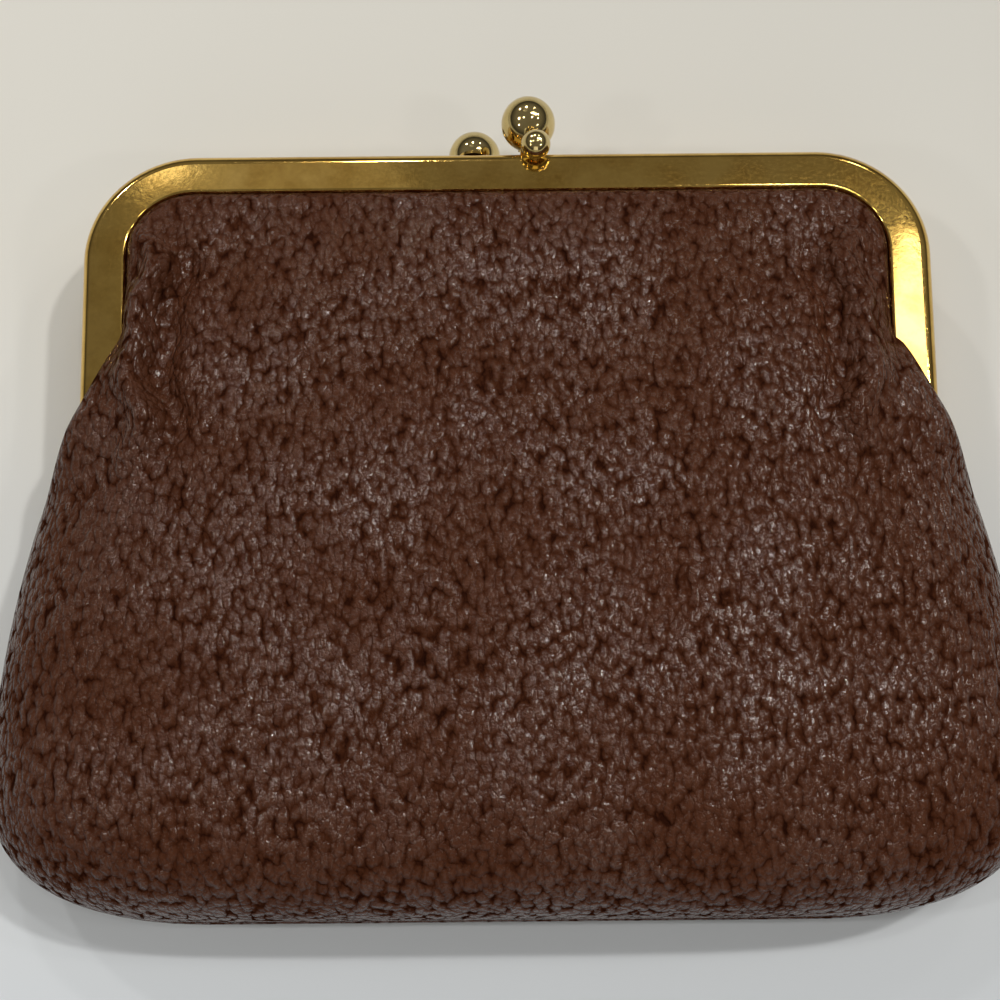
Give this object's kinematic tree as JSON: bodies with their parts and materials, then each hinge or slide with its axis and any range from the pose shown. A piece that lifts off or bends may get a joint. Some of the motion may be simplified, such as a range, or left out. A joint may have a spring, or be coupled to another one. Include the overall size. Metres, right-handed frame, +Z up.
{
  "type": "coin purse",
  "caption": "Small soft leather coin purse lying on its back, with a hinged metal channel frame that snaps shut by two crossing balls.",
  "frame": {"origin": "middle of the bounding box on the table plane, under the flat back of the pouch", "axes": "+X to the right across the frame, +Y from the pouch's bottom toward the clasp, +Z up from the table through the front panel"},
  "size_m": [0.0984, 0.081, 0.016],
  "materials": {
    "polished_brass": "polished, lightly tarnished",
    "pebbled_leather": "pebbled grain, semi-gloss",
    "lining_fabric": "plain weave",
    "paper_cord": "twisted paper"
  },
  "bodies": {
    "rear_half": {"rear_frame": "polished_brass", "left_hinge_rivet": "polished_brass", "right_hinge_rivet": "polished_brass", "rear_clasp_arm": "polished_brass", "rear_clasp_ball": "polished_brass", "rear_panel": "pebbled_leather", "front_panel": "pebbled_leather", "seam_welt": "pebbled_leather", "rear_lining": "lining_fabric", "front_lining": "lining_fabric", "rear_frame_cord": "paper_cord"},
    "front_half": {"front_frame": "polished_brass", "front_clasp_arm": "polished_brass", "front_clasp_ball": "polished_brass", "front_stop_bead": "polished_brass", "front_panel_flap": "pebbled_leather", "front_lining_flap": "lining_fabric", "front_frame_cord": "paper_cord"}
  },
  "joints": [
    {"name": "front_half_swing", "type": "hinge", "parent": "rear_half", "child": "front_half", "pos_m": [0, 0.00345, 0.0069], "axis": [1, 0, 0], "range_deg": [0, 90]}
  ]
}
